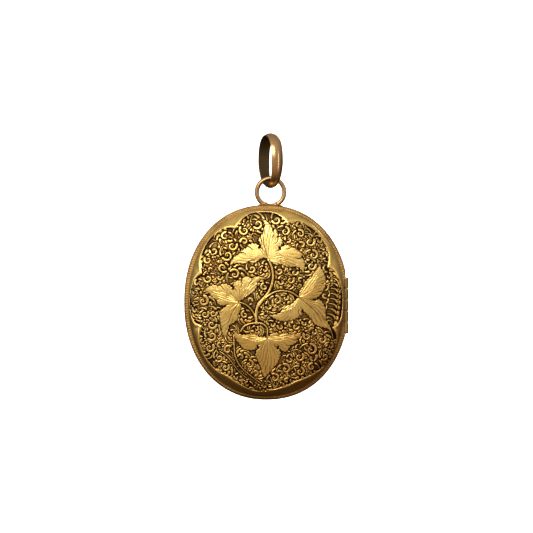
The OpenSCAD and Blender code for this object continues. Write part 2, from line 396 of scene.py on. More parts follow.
LEFT_LEAF = [
    (-6.0, 0.1, 0), (-5.4, -0.8), (-5.8, -1.9), (-6.2, -2.9), (-6.3, -3.7), (-7.0, -4.5),
    (-8.0, -5.1), (-8.3, -5.9), (-8.5, -6.9), (-8.9, -8.2, 0), (-9.7, -6.9), (-10.1, -5.0),
    (-10.4, -3.3), (-10.3, -2.0), (-9.6, -1.2), (-9.1, -0.8, 0), (-10.2, -0.7), (-10.9, -0.1),
    (-11.0, 0.5, 0), (-11.8, 0.9), (-12.4, 1.7), (-13.1, 2.2), (-14.0, 2.4, 0), (-13.3, 3.1),
    (-12.4, 3.7), (-11.4, 4.0), (-10.6, 3.7, 0), (-10.0, 4.1), (-8.9, 4.2), (-8.0, 3.8),
    (-7.3, 3.2, 0), (-7.4, 4.0), (-6.8, 4.7), (-5.9, 5.0), (-5.6, 4.7, 0), (-5.1, 5.5),
    (-4.2, 5.8), (-3.2, 5.3, 0), (-2.6, 5.7), (-1.6, 5.8), (-0.6, 5.5), (0.2, 5.0, 0),
    (-1.2, 4.9), (-1.9, 4.3), (-2.1, 3.4), (-2.6, 2.4), (-3.6, 1.7), (-4.2, 1.3, 0), (-4.9, 0.8),
]
RIGHT_LEAF = [
    (7.0, 1.2, 0), (6.3, 0.6), (5.4, -0.3), (4.3, -0.5), (3.4, -0.9), (3.1, -2.0), (1.8, -2.6),
    (0.2, -2.6, 0), (1.6, -3.6), (3.3, -4.2), (5.2, -4.1), (6.6, -3.6), (7.4, -3.0, 0),
    (7.9, -2.8), (8.0, -1.9, 0), (8.6, -2.5), (9.3, -3.1), (9.5, -3.7, 0), (9.8, -3.6),
    (10.3, -4.6), (11.4, -5.3), (12.8, -5.7), (14.4, -6.3, 0), (13.8, -4.9), (13.2, -3.9, 0),
    (13.1, -2.6), (12.8, -1.0), (12.2, 0.3), (11.4, 0.8), (10.5, 0.6, 0), (11.5, 1.2),
    (12.3, 2.1), (12.7, 2.9, 0), (13.0, 3.6), (13.1, 4.8, 0), (13.0, 5.6), (12.4, 7.0),
    (11.5, 8.3, 0), (10.9, 7.2), (10.1, 6.2, 0), (9.9, 5.9), (9.0, 5.2), (8.2, 4.3, 0),
    (7.9, 3.5), (7.2, 2.5),
]
BOTTOM_LEAF = [
    (0.2, -7.7, 0), (-0.6, -7.4), (-1.6, -7.4), (-2.6, -6.8), (-3.8, -6.8), (-5.0, -7.0),
    (-6.3, -6.7), (-7.3, -5.9, 0), (-7.2, -7.2), (-6.6, -8.4), (-5.8, -9.5), (-5.0, -10.3),
    (-3.8, -10.6), (-2.7, -10.5), (-2.0, -9.9, 0), (-2.4, -10.9), (-2.4, -11.8), (-1.9, -13.0),
    (-1.3, -14.4), (-1.0, -15.6), (-0.5, -16.8, 0), (0.6, -15.6), (1.6, -14.4), (2.5, -13.3),
    (3.0, -12.0), (3.2, -10.9), (2.5, -9.9, 0), (3.5, -10.8), (4.5, -10.8), (5.0, -10.1),
    (5.4, -9.5, 0), (6.1, -9.2), (6.9, -8.5), (6.8, -8.1, 0), (7.4, -7.7), (7.9, -6.1, 0),
    (6.6, -6.8), (5.4, -6.9), (4.6, -6.7), (4.0, -6.5), (3.0, -7.0, 0), (2.1, -6.5), (1.0, -6.8),
]

# Each leaf with the point that its lobes spread from, and the veins that run from there:
# where they end, how they bow, how many lie side by side and how widely
LEAVES = [
    (TOP_LEAF, (0.3, 9.5),
     [((-1.0, 17.2), 0.6, 5, 1.9), ((-7.3, 8.8), 1.3, 4, 1.2), ((8.0, 8.0), 1.1, 4, 1.3)]),
    (LEFT_LEAF, (-6.0, 0.1),
     [((-12.8, 2.7), -0.3, 4, 1.2), ((-1.6, 5.3), 0.9, 4, 1.2), ((-9.0, -6.6), -0.8, 3, 1.3)]),
    (RIGHT_LEAF, (7.0, 1.2),
     [((11.9, 6.8), -0.7, 4, 1.3), ((13.4, -5.0), 0.7, 5, 1.5), ((1.2, -2.8), 0.9, 4, 1.1)]),
    (BOTTOM_LEAF, (0.2, -7.7),
     [((-6.4, -7.3), 0.6, 4, 1.0), ((7.0, -7.2), -0.5, 4, 1.0), ((-0.3, -15.6), 0.2, 7, 2.2)]),
]

# Each stem's route from its thick end, and its half width there and at its thin end
STEMS = [
    ([(-2.2, -4.6), (-2.3, -2.6), (-1.8, -0.4), (-0.4, 1.2), (0.7, 2.8), (1.3, 4.6), (1.4, 6.4),
      (1.0, 8.2), (0.3, 9.5)], 0.34, 0.26),
    ([(-2.0, -1.2), (-1.0, 0.2), (0.5, 1.6), (2.1, 2.4), (3.8, 2.6), (5.5, 2.2), (7.0, 1.2)], 0.26, 0.18),
    ([(-2.2, -4.4), (-2.6, -2.9), (-3.4, -1.5), (-4.5, -0.5), (-6.0, 0.1)], 0.24, 0.16),
    ([(-5.6, -6.3), (-5.0, -5.3), (-3.8, -4.7), (-2.2, -4.5), (-0.8, -4.7), (0.1, -5.6), (0.2, -6.7),
      (0.2, -7.7)], 0.24, 0.22),
    ([(-7.2, -7.2), (-7.1, -9.2), (-7.0, -11.2), (-6.4, -13.0), (-5.0, -14.8), (-3.2, -16.3),
      (-1.2, -17.8)], 0.20, 0.14),
    ([(-10.2, -10.8), (-8.6, -11.9), (-7.4, -13.4), (-6.0, -15.2), (-4.4, -16.6)], 0.16, 0.12),
    ([(-9.0, -7.9), (-8.4, -8.7), (-7.2, -8.9)], 0.14, 0.10),
    ([(12.9, -5.2), (14.2, -6.4), (14.6, -8.0)], 0.16, 0.10),
]

# Each scroll: x, z, radius, angle where its curl starts, and 1 for a left turn or -1
SCROLLS = [
    (-1.9, 17.2, 1.1, 200, 1), (-4.9, 15.8, 1.15, 120, 1), (-4.7, 18.0, 0.7, 20, -1),
    (-4.9, 13.4, 0.9, 210, -1), (-9.1, 14.6, 0.95, 60, 1), (-7.5, 12.4, 1.1, 40, -1),
    (-11.6, 11.3, 1.0, 150, 1), (-8.6, 10.3, 1.2, 190, 1), (-12.9, 9.3, 0.9, 120, 1),
    (-9.6, 7.6, 1.15, 330, -1), (-7.0, 6.2, 1.2, 160, -1), (-3.2, 7.3, 0.85, 200, 1),
    (-12.9, 5.2, 1.0, 150, 1), (-10.3, 5.5, 0.75, 30, -1), (-15.3, 4.3, 0.75, 80, 1),
    (-0.4, 7.2, 0.7, 100, -1), (-0.5, 3.4, 0.85, 80, 1), (-12.2, 7.2, 0.6, 250, -1),
    (2.2, 18.1, 1.0, 170, 1), (4.1, 15.6, 1.05, 100, -1), (7.4, 15.1, 0.95, 130, -1),
    (9.6, 13.3, 1.1, 50, -1), (7.8, 12.6, 0.8, 150, -1), (10.3, 10.4, 1.1, 110, -1),
    (4.9, 13.7, 0.6, 200, 1), (11.6, 13.6, 0.7, 60, -1), (12.7, 10.6, 0.7, 300, 1),
    (9.9, 8.0, 1.0, 40, -1), (2.8, 6.9, 0.85, 160, 1), (6.2, 6.6, 0.8, 30, -1),
    (5.3, 4.9, 0.85, 60, -1), (3.3, 4.5, 0.75, 150, 1), (7.4, 4.9, 0.6, 20, 1),
    (13.7, 5.8, 0.8, 100, -1), (7.0, 17.0, 0.6, 60, 1),
    (-15.0, 2.0, 0.7, 60, -1), (-13.9, 0.3, 1.25, 100, -1), (-15.7, -1.6, 0.7, 120, 1),
    (-13.5, -2.6, 0.9, 60, -1), (-11.7, -2.4, 0.85, 40, -1), (-12.0, -4.9, 1.05, 20, -1),
    (-12.0, -7.4, 1.1, 200, 1), (-12.5, -10.0, 1.05, 60, -1), (-14.0, -8.6, 0.6, 80, 1),
    (-8.5, -10.4, 1.0, 30, 1), (-10.4, -12.3, 0.9, 190, 1), (-9.0, -14.3, 0.85, 60, -1),
    (-7.7, -6.9, 0.6, 120, 1), (-3.7, -13.6, 0.95, 110, -1), (-2.5, -15.4, 0.8, 250, 1),
    (-0.9, 1.9, 0.55, 60, 1), (-2.2, -5.8, 0.55, 100, -1), (-5.6, -12.0, 0.8, 200, -1),
    (-4.8, -2.7, 0.85, 80, 1), (-4.2, -18.0, 0.65, 60, 1), (-10.3, -9.2, 0.65, 300, -1),
    (2.3, 0.5, 1.0, 120, -1), (0.6, -0.9, 0.75, 160, 1), (4.2, 1.0, 0.7, 60, -1),
    (3.1, -5.3, 0.75, 140, 1), (1.3, -4.9, 0.6, 60, -1), (6.4, -5.3, 0.8, 20, -1),
    (8.4, -4.6, 0.65, 120, 1), (10.4, -6.6, 0.75, 80, -1), (8.9, -7.4, 0.9, 120, 1),
    (9.8, -10.4, 1.35, 110, -1), (12.2, -8.2, 0.9, 70, -1), (14.1, -9.6, 0.75, 100, -1),
    (12.8, -12.0, 0.85, 200, 1), (7.2, -12.0, 1.05, 60, -1), (5.2, -12.6, 0.7, 160, 1),
    (4.2, -14.6, 1.15, 130, -1), (7.4, -15.2, 1.0, 90, -1), (1.8, -16.6, 1.05, 140, -1),
    (9.9, -14.2, 0.9, 60, 1), (-0.4, -18.3, 0.75, 100, 1), (4.4, -17.2, 0.65, 30, 1),
    (-6.6, -16.5, 0.6, 120, 1), (-8.9, -12.4, 0.6, 80, 1), (-1.0, -2.2, 0.6, 200, 1),
]

# Dark almond holes where a leaf's lobes part: x, z and which way they lean
HOLES = [
    (-1.5, 12.2, 60), (2.9, 11.9, 110), (-7.3, 3.2, 80), (-9.2, -0.8, 20),
    (10.5, 0.6, 160), (7.9, -1.9, 70), (-1.9, -9.8, 110), (2.5, -9.9, 70),
]


FRONT_SEED = 7


def fan_of(x, z, stem):
    """Turn round a leaf's stem, from 0 to 1 and a little wavy, and the distance from it."""
    dx, dz = x - stem[0], z - stem[1]
    radius = np.hypot(dx, dz)
    angle = np.arctan2(dz, dx) + 0.05 * np.sin(1.1 * radius) + 0.008 * np.sin(2.9 * radius + dx)
    return angle / (2 * np.pi) % 1, radius


def feathers(relief):
    """Curved strokes down the right edge, one under the other."""
    bend = np.radians(np.linspace(95, -25, 10))
    for k in range(8):
        x, z = 14.3 + 0.06 * k - 0.024 * k * k, 3.6 - 1.12 * k
        relief.stroke(polar(x, z, 1.75, bend), 0.16, 0.44, FEATHER_H)
    relief.settle()


def stem_ridges(relief):
    """Height of the smooth round stems."""
    height = np.zeros_like(relief.height)
    for points, wide, narrow in STEMS:
        rows, cols, dist, share = relief.near(spline(points), wide + 0.1)
        half = wide + (narrow - wide) * share
        ridge = STEM_H * np.clip(1 - (dist / half) ** 2, 0, 1) ** 0.5
        height[rows, cols] = np.maximum(height[rows, cols], ridge)
    return height


def cut_veins(relief, stem, veins):
    """Bundles of fine cuts that run out from a leaf's stem, deepest in their middle."""
    stem = np.array(stem)
    for tip, bow, count, spread in veins:
        along = np.array(tip) - stem
        across = np.array([-along[1], along[0]]) / np.hypot(*along)
        for k in range(count):
            side = (k - (count - 1) / 2) / max((count - 1) / 2, 1)
            end = stem + along * (0.94 - 0.30 * abs(side)) + across * side * spread * 0.5
            middle = (stem + end) / 2 + across * (bow * 0.5 + side * spread * 0.28)
            relief.cut(spline([stem, middle, end], 8), 0.10, 0.05, VEIN_DEPTH if side else MIDRIB_DEPTH)


def cut_nicks(relief, outline, stem):
    """Short bent cuts from a leaf's points and notches towards its stem."""
    for p in outline:
        if len(p) == 3:
            inward = np.array(stem) - p[:2]
            reach = min(np.hypot(*inward) * 0.4, 1.7)
            inward = inward / max(np.hypot(*inward), 0.01) * reach
            side = np.array([-inward[1], inward[0]]) * 0.16
            start = np.array(p[:2]) - inward * 0.12
            path = spline([start, start + inward * 0.5 + side, start + inward], 5)
            relief.cut(path, 0.13, 0.03, NICK_DEPTH)


def front_relief():
    """Height of the engraved front over its plain dome, and what its material reads."""
    relief = Relief(HALF_W, HALF_H)
    _, _, within = relief.signed(spline(LIP, 4, closed=True), 60)
    x, z = np.meshgrid(relief.xs, relief.zs)

    shape = np.full_like(within, -FAR)
    fan = np.zeros_like(within)
    from_stem = np.zeros_like(within)
    for outline, stem, _ in LEAVES:
        edge = spline(outline, 5, closed=True)
        rows, cols, inside = relief.signed(edge, 0.7, TOOTH_DEPTH, TOOTH_PITCH)
        shape[rows, cols] = np.maximum(shape[rows, cols], inside)
        turn, radius = fan_of(x[rows, cols], z[rows, cols], stem)
        fan[rows, cols] = np.where(inside > -0.5, turn, fan[rows, cols])
        from_stem[rows, cols] = np.where(inside > -0.5, radius, from_stem[rows, cols])

    feathers(relief)
    for points, wide, _ in STEMS:
        relief.clear(spline(points), wide + 0.12)
    allowed = smooth(within, 0.3, 0.35) * smooth(-shape, 0.2, 0.25) * relief.keep
    scrollwork(relief, SCROLLS, allowed, FRONT_SEED)
    scrolls = relief.height * relief.keep * smooth(-shape, 0.06, 0.16) * smooth(within, 0.12, 0.3)
    stems = stem_ridges(relief) * smooth(within, 0.05, 0.3)

    for outline, stem, veins in LEAVES:
        cut_veins(relief, stem, veins)
        cut_nicks(relief, outline, stem)
    for hx, hz, lean in HOLES:
        tilt = np.array([np.cos(np.radians(lean)), np.sin(np.radians(lean))]) * 0.22
        relief.cut(np.array([[hx, hz] - tilt, [hx, hz] + tilt]), 0.26, 0.22, HOLE_DEPTH)
    cuts = np.minimum(relief.cuts, LEAF_H + 0.06) * smooth(shape, -0.12, 0.0)

    leaf = LEAF_H * smooth(shape, -0.04, 0.05) + 0.03 * smooth(shape, 0.0, 1.2)
    trench = 0.06 * smooth(-shape, -0.02, 0.05) * smooth(shape, -0.34, -0.12)
    sunk = GROUND * smooth(within, 0.10, 0.30) - trench * smooth(within, 0.1, 0.3)
    rise = np.maximum(np.maximum(scrolls, stems), leaf * smooth(within, -0.1, 0.1))
    crest = LIP_H * np.exp(-((within + 0.20) / 0.36) ** 2)
    marks = {"leaf": smooth(shape, 0.02, 0.14), "fan": fan, "spread": from_stem}
    return relief, np.maximum(sunk + rise - cuts + crest, DEEPEST), marks


# ---------- back cover's design ----------


BORDER_IN, BORDER_OUT = 0.47, 0.83      # shares of the cover between which the scrolls lie
BACK_SEED = 11


def back_relief():
    """Plain oval cartouche in a border of scrolls, as height over the plain dome."""
    relief = Relief(HALF_W, HALF_H)
    x, z = np.meshgrid(relief.xs, relief.zs)
    share = oval_share(x, z)
    reach = (FOOT_W + FOOT_H) / 2
    within = (BORDER_OUT - share) * reach
    outside = (share - BORDER_IN) * reach
    scrolls = []
    for place, count, size in ((0.735, 26, 1.15), (0.575, 18, 1.1)):
        for i in range(count):
            hand = 1 if i % 2 else -1
            angle = 2 * np.pi * (i + (0.12 if hand > 0 else 0.38)) / count
            px, pz = oval(FOOT_W * place, FOOT_H * place, angle)
            scrolls.append((float(px), float(pz), size, np.degrees(angle) + 60 * hand, hand))
    allowed = smooth(within, 0.35, 0.4) * smooth(outside, 0.35, 0.4)
    scrollwork(relief, scrolls, allowed, BACK_SEED)
    cut_in = smooth(within, 0.1, 0.3) * smooth(outside, 0.1, 0.3)
    rise = relief.height * cut_in
    crest = 0.12 * (np.exp(-(within / 0.22) ** 2) + np.exp(-(outside / 0.22) ** 2))
    fine = 0.05 * np.exp(-((outside + 0.75) / 0.09) ** 2)
    return relief, GROUND * cut_in + rise + crest - fine


# ---------- meshes ----------


def to_frame(x, depth, z):
    """Case millimetres to the frame's metres. Depth grows towards the front."""
    return np.stack([CASE_X + x * MM, CASE_Y - depth * MM, CASE_Z + z * MM], -1)


def add_object(name, content):
    piece = bpy.data.objects.new(name, content)
    bpy.context.scene.collection.objects.link(piece)
    return piece


def add_mesh(name, points, faces, smooth_faces=True):
    mesh = bpy.data.meshes.new(name)
    mesh.from_pydata(np.asarray(points, float).tolist(), [], faces)
    if smooth_faces:
        mesh.shade_smooth()
    return add_object(name, mesh)


def add_grid_mesh(name, points, quads):
    """Mesh from arrays of points and quads, for the large sheets."""
    mesh = bpy.data.meshes.new(name)
    mesh.vertices.add(len(points))
    mesh.vertices.foreach_set("co", np.asarray(points, np.float32).ravel())
    mesh.loops.add(quads.size)
    mesh.loops.foreach_set("vertex_index", quads.astype(np.int32).ravel())
    mesh.polygons.add(len(quads))
    mesh.polygons.foreach_set("loop_start", np.arange(len(quads), dtype=np.int32) * 4)
    mesh.update(calc_edges=True)
    mesh.validate()
    mesh.shade_smooth()
    return add_object(name, mesh)


def paint(piece, name, values):
    """Stores one number per point for the material to read."""
    layer = piece.data.attributes.new(name, "FLOAT", "POINT")
    layer.data.foreach_set("value", np.asarray(values, np.float32))


def loop_faces(rows, columns, closed_rows, closed_columns):
    """Quads of a grid of points, joined round where it is closed."""
    last_row = rows if closed_rows else rows - 1
    last_column = columns if closed_columns else columns - 1
    i, j = np.meshgrid(np.arange(last_row), np.arange(last_column), indexing="ij")
    i2, j2 = (i + 1) % rows, (j + 1) % columns
    quads = np.stack([i * columns + j, i * columns + j2, i2 * columns + j2, i2 * columns + j], -1)
    return quads.reshape(-1, 4)


def oval(half_x, half_z, angle, squareness=SQUARENESS):
    """Point of a superellipse at an angle in radians."""
    c, s = np.cos(angle), np.sin(angle)
    power = 2 / squareness
    return half_x * np.sign(c) * np.abs(c) ** power, half_z * np.sign(s) * np.abs(s) ** power


def outward_of(x, z):
    """Unit vectors square to a closed curve at its points."""
    dx, dz = np.roll(x, -1) - np.roll(x, 1), np.roll(z, -1) - np.roll(z, 1)
    size = np.hypot(dx, dz)
    return dz / size, -dx / size


def tube(name, rows):
    """Closed tube through rings of points that come back to the first."""
    return add_grid_mesh(name, np.concatenate(rows), loop_faces(len(rows), len(rows[0]), True, True))


def oval_even(half_x, half_z, count):
    """Points of the superellipse at even steps along its edge."""
    x, z = oval(half_x, half_z, np.linspace(0, 2 * np.pi, 4001))
    run = np.concatenate([[0], np.cumsum(np.hypot(np.diff(x), np.diff(z)))])
    even = np.linspace(0, run[-1], count, endpoint=False)
    return np.interp(even, run, x), np.interp(even, run, z)


def oval_share(x, z):
    """How far out a point lies on a cover, from 0 at its centre to 1 at its foot."""
    return ((np.abs(x) / FOOT_W) ** SQUARENESS + (np.abs(z) / FOOT_H) ** SQUARENESS) ** (1 / SQUARENESS)


def dome(x, z, flat):
    """Depth of a plain cover at a point, from the parting plane, where flat is level."""
    radius = np.clip(oval_share(x, z), 0, 1)
    face = 1 - SHOULDER / FOOT_W
    rise = HALF_T - RIM_T - CROWN
    shoulder = rise * np.sqrt(np.clip(1 - ((radius - face) / (1 - face)) ** 2, 0, 1))
    done = np.clip((1 - radius / face) / (1 - flat), 0, 1)
    top = rise + CROWN * (1 - (1 - done) ** 2)
    return RIM_T + np.where(radius > face, shoulder, top)


def sample(relief, field, x, z):
    """Bilinear value of a raster at points."""
    u = np.clip((x - relief.xs[0]) / CELL, 0, len(relief.xs) - 1.001)
    v = np.clip((z - relief.zs[0]) / CELL, 0, len(relief.zs) - 1.001)
    i, j = u.astype(int), v.astype(int)
    u, v = u - i, v - j
    return (
        field[j, i] * (1 - u) * (1 - v) + field[j, i + 1] * u * (1 - v)
        + field[j + 1, i] * (1 - u) * v + field[j + 1, i + 1] * u * v
    )


def cover_piece(name, relief, height, marks, cells, flat, side):
    """Closed sheet of a cover: an engraved outer face and a plain inner one.

    A square grid is bent into the oval for the outer face. The inner face is rings that
    start from the same edge points. Side is 1 for the front and -1 for the back.
    """
    u, v = np.meshgrid(np.linspace(-1, 1, cells + 1), np.linspace(-1, 1, cells + 1))
    cx, cz = u * np.sqrt(1 - v * v / 2), v * np.sqrt(1 - u * u / 2)
    radius, angle = np.hypot(cx, cz), np.arctan2(cz, cx)
    c, s = np.abs(np.cos(angle)), np.abs(np.sin(angle))
    stretch = radius / (c ** SQUARENESS + s ** SQUARENESS) ** (1 / SQUARENESS)
    x, z = FOOT_W * stretch * np.cos(angle), FOOT_H * stretch * np.sin(angle)
    fade = smooth(1 - radius, 0, 0.03)
    depth = dome(x, z, flat) + sample(relief, height, x * side, z) * fade
    points = to_frame(x.ravel(), (depth * side).ravel(), z.ravel())
    quads = loop_faces(cells + 1, cells + 1, False, False)

    index = np.arange((cells + 1) ** 2).reshape(cells + 1, cells + 1)
    edge = np.concatenate([index[0, :-1], index[:-1, -1], index[-1, :0:-1], index[:0:-1, 0]])
    ex, ez = x.ravel()[edge], z.ravel()[edge]
    shares = np.array([1 - SHEET / FOOT_W, 0.965, 0.94, 0.9, 0.84, 0.76, 0.62, 0.4, 0.2])
    inner = []
    for share in shares:
        ix, iz = ex * share, ez * share
        under = np.maximum(dome(ix, iz, flat) - INNER_DROP, RIM_T + 0.1)
        if share == shares[0]:
            under = np.full(len(ix), RIM_T)
        inner.append(to_frame(ix, under * side, iz))
    centre = to_frame(np.zeros(1), np.array([(HALF_T - INNER_DROP) * side]), np.zeros(1))
    base = len(points)
    rings = [edge] + [base + k * len(edge) + np.arange(len(edge)) for k in range(len(shares))]
    bands = []
    for a, b in zip(rings, rings[1:]):
        bands.append(np.stack([a, np.roll(a, -1), np.roll(b, -1), b], -1))
    hub = base + len(shares) * len(edge)
    last = rings[-1].reshape(-1, 2)
    fan = np.stack([last[:, 0], last[:, 1], np.roll(last[:, 0], -1), np.full(len(last), hub)], -1)
    quads = np.concatenate([quads[:, ::-1]] + bands + [fan])
    if side < 0:
        quads = quads[:, ::-1]
    piece = add_grid_mesh(name, np.concatenate([points] + inner + [centre]), quads)
    plain = np.zeros(hub + 1 - base)
    for mark, field in marks.items():
        paint(piece, mark, np.concatenate([sample(relief, field, x * side, z).ravel(), plain]))
    return piece


def sweep(name, section, half_x, half_z, count, shift=None, side=1):
    """Closed profile of (inset, depth) points carried round the oval at even steps.

    shift(step) moves every profile point by an (inset, depth) array of the same length.
    Side is 1 for the front and -1 for the back.
    """
    rows = []
    x0, z0 = oval_even(half_x, half_z, count)
    nx, nz = outward_of(x0, z0)
    section = np.array(section, float)
    for k in range(count):
        profile = section + shift(k) if shift else section
        inset, depth = profile.T
        rows.append(to_frame(x0[k] - nx[k] * inset, depth * side, z0[k] - nz[k] * inset))
    return tube(name, rows)


def outward(piece):
    """Turns every face of a closed piece outwards."""
    work = bmesh.new()
    work.from_mesh(piece.data)
    bmesh.ops.recalc_face_normals(work, faces=work.faces)
    work.to_mesh(piece.data)
    work.free()


def cut_with(piece, cutters):
    """Takes solid cutters out of a piece and deletes them."""
    for cutter in cutters:
        modifier = piece.modifiers.new("cut", "BOOLEAN")
        modifier.operation = "DIFFERENCE"
        modifier.solver = "EXACT"
        modifier.object = cutter
        with bpy.context.temp_override(object=piece, active_object=piece, selected_objects=[piece]):
            bpy.ops.object.modifier_apply(modifier=modifier.name)
        bpy.data.objects.remove(cutter)


def barrel(x, low, high, radius, along_depth=False, count=64):
    """Plain round cutter, upright at x or, along the depth, at that x and z = 0."""
    points = []
    for end in (low, high):
        for k in range(count):
            a = 2 * math.pi * k / count
            if along_depth:
                points.append(to_frame(x + radius * math.cos(a), end, radius * math.sin(a)))
            else:
                points.append(to_frame(x + radius * math.cos(a), radius * math.sin(a), end))
    faces = [(k, (k + 1) % count, count + (k + 1) % count, count + k) for k in range(count)]
    faces += [tuple(range(count)), tuple(range(2 * count - 1, count - 1, -1))]
    piece = add_mesh("cutter", points, faces, False)
    outward(piece)
    return piece


def block(low, high):
    """Plain cutter between two corners, given as (x, depth, z)."""
    points = [to_frame(*corner) for corner in itertools.product(*zip(low, high))]
    faces = [(0, 1, 3, 2), (4, 6, 7, 5), (0, 4, 5, 1), (2, 3, 7, 6), (0, 2, 6, 4), (1, 5, 7, 3)]
    piece = add_mesh("cutter", points, faces, False)
    outward(piece)
    return piece


# ---------- materials ----------


class Nodes:
    """Short ways to add shader nodes to a tree and to link them."""

    def __init__(self, tree, coordinates):
        self.tree = tree
        self.place = tree.nodes.new("ShaderNodeTexCoord").outputs[coordinates]

    def feed(self, socket, value):
        """Links an output to a socket, or sets a plain value or a colour there."""
        if isinstance(value, bpy.types.NodeSocket):
            self.tree.links.new(value, socket)
        elif socket.type == "RGBA":
            socket.default_value = (*value, 1)
        else:
            socket.default_value = value

    def node(self, kind, inputs, **settings):
        node = self.tree.nodes.new("ShaderNode" + kind)
        for name, value in settings.items():
            setattr(node, name, value)
        for key, value in inputs.items():
            self.feed(node.inputs[key], value)
        return node

    def axis(self, name):
        return self.node("SeparateXYZ", {0: self.place}).outputs[name]

    def stretch(self, scale, turn):
        inputs = {"Vector": self.place, "Scale": scale, "Rotation": turn}
        return self.node("Mapping", inputs).outputs["Vector"]

    def noise(self, scale, detail=3.0, rough=0.55, vector=None):
        inputs = {"Vector": vector or self.place, "Scale": scale, "Detail": detail, "Roughness": rough}
        return self.node("TexNoise", inputs).outputs["Fac"]

    def band(self, value, low, high, to_low=0.0, to_high=1.0, kind="LINEAR"):
        inputs = {"Value": value, "From Min": low, "From Max": high, "To Min": to_low, "To Max": to_high}
        return self.node("MapRange", inputs, interpolation_type=kind).outputs["Result"]

    def math(self, kind, a, b=0.0):
        return self.node("Math", {0: a, 1: b}, operation=kind).outputs[0]

    def mix(self, factor, a, b):
        node = self.node("Mix", {}, data_type="RGBA")
        sockets = {s.name: s for s in node.inputs if s.enabled}
        for name, value in (("Factor", factor), ("A", a), ("B", b)):
            self.feed(sockets[name], value)
        return next(s for s in node.outputs if s.enabled)

    def mark(self, name):
        """Number that a piece's points carry under a name."""
        return self.node("Attribute", {}, attribute_name=name).outputs["Fac"]

    def bump(self, height, strength, distance):
        inputs = {"Height": height, "Strength": strength, "Distance": distance}
        return self.node("Bump", inputs).outputs["Normal"]


class Paint(Nodes):
    """Node material on one principled shader."""

    def __init__(self, name):
        self.material = bpy.data.materials.new(name)
        self.material.use_nodes = True
        super().__init__(self.material.node_tree, "Object")
        self.shader = self.tree.nodes["Principled BSDF"]

    def put(self, **values):
        for name, value in values.items():
            self.feed(self.shader.inputs[name.replace("_", " ")], value)


def fan_lines(paint):
    """Engraver's hairlines that spread over a leaf from its stem, from 0 to 1. They are painted dark, as
    the shade in cuts that the mesh doesn't carry.
    """
    fan, spread = paint.mark("fan"), paint.mark("spread")
    bundles = []
    for count, near, far in ((26, 0.5, 2.8), (46, 2.4, 30.0)):
        turn = paint.math("FRACT", paint.math("MULTIPLY", fan, count))
        across = paint.math("ABSOLUTE", paint.math("SUBTRACT", turn, 0.5))
        groove = paint.band(across, 0.07, 0.22, 1.0, 0.0)
        begins = paint.band(spread, near, near + 0.6)
        ends = paint.band(spread, far, far + 0.6, 1.0, 0.0)
        bundles.append(paint.math("MULTIPLY", groove, paint.math("MULTIPLY", begins, ends)))
    lines = paint.math("MAXIMUM", *bundles)
    broken = paint.band(paint.noise(500, 2), 0.38, 0.56)
    return paint.math("MULTIPLY", paint.math("MULTIPLY", lines, broken), paint.mark("leaf"))


def old_gold(name, bright, warm, rough, worn, hollow_grime_and_shade=None, leaves=False, lower_right_shade=None):
    """Gold with patches of tone, fine hairline scratches and grain.

    It takes two colours for hollows, grime and painted shade, and a painted shade for the case's lower
    right, darker and warmer.
    """
    paint = Paint(name)
    colour = paint.mix(paint.band(paint.noise(140, 3), 0.35, 0.65), bright, warm)
    # painted shade: the gold turns darker and warmer towards the case's lower right
    if lower_right_shade:
        lower_right = paint.math("SUBTRACT", paint.axis("X"), paint.axis("Z"))
        middle = CASE_X - CASE_Z
        share = paint.band(lower_right, middle + 0.004, middle + 0.028, 0.0, 0.65)
        colour = paint.mix(share, colour, lower_right_shade)
    hair = paint.noise(1.0, 2, 0.6, paint.stretch((300, 300, 9000), (0.5, 0.3, 0.2)))
    hair2 = paint.noise(1.0, 2, 0.6, paint.stretch((8000, 320, 320), (0.2, 0.9, 0.5)))
    scratches = paint.math("MAXIMUM", paint.band(hair, 0.62, 0.74), paint.band(hair2, 0.64, 0.76))
    roughness = paint.band(paint.noise(420, 4), 0.3, 0.7, rough, rough + worn)
    roughness = paint.math("ADD", roughness, paint.math("MULTIPLY", scratches, 0.05))
    # hollows painted brown to near-black: grime and painted shade
    if hollow_grime_and_shade:
        clumps = paint.band(paint.noise(260, 3), 0.25, 0.6, 0.75, 1.0)
        grime_and_shade_mask = paint.math("MULTIPLY", paint.mark("grime_and_shade_share"), clumps)
        colour = paint.mix(paint.band(grime_and_shade_mask, 0.05, 0.45), colour, hollow_grime_and_shade[0])
        colour = paint.mix(paint.band(grime_and_shade_mask, 0.35, 0.90), colour, hollow_grime_and_shade[1])
        roughness = paint.math("ADD", roughness, paint.math("MULTIPLY", grime_and_shade_mask, 0.30))
    if leaves:
        cuts = fan_lines(paint)
        colour = paint.mix(paint.math("MULTIPLY", cuts, 0.75), colour, ENGRAVED_CUT_SHADE)
        roughness = paint.math("ADD", roughness, paint.math("MULTIPLY", cuts, 0.2))
    grain = paint.bump(paint.noise(2600, 4, 0.6), 0.15, 0.000006)
    paint.put(Metallic=1.0, Base_Color=colour, Roughness=roughness, Normal=grain)
    return paint.material


def dress(piece, material):
    if piece.material_slots:
        for slot in piece.material_slots:
            slot.material = material
    else:
        piece.data.materials.append(material)


def glass():
    paint = Paint("old_glass")
    smear = paint.band(paint.noise(160, 3), 0.4, 0.75, 0.02, 0.12)
    wave = paint.bump(paint.noise(70, 2), 0.08, 0.00005)
    paint.put(Base_Color=(0.97, 0.98, 0.97), Roughness=smear, Normal=wave)
    paint.put(Transmission_Weight=1.0, IOR=1.5)
    return paint.material


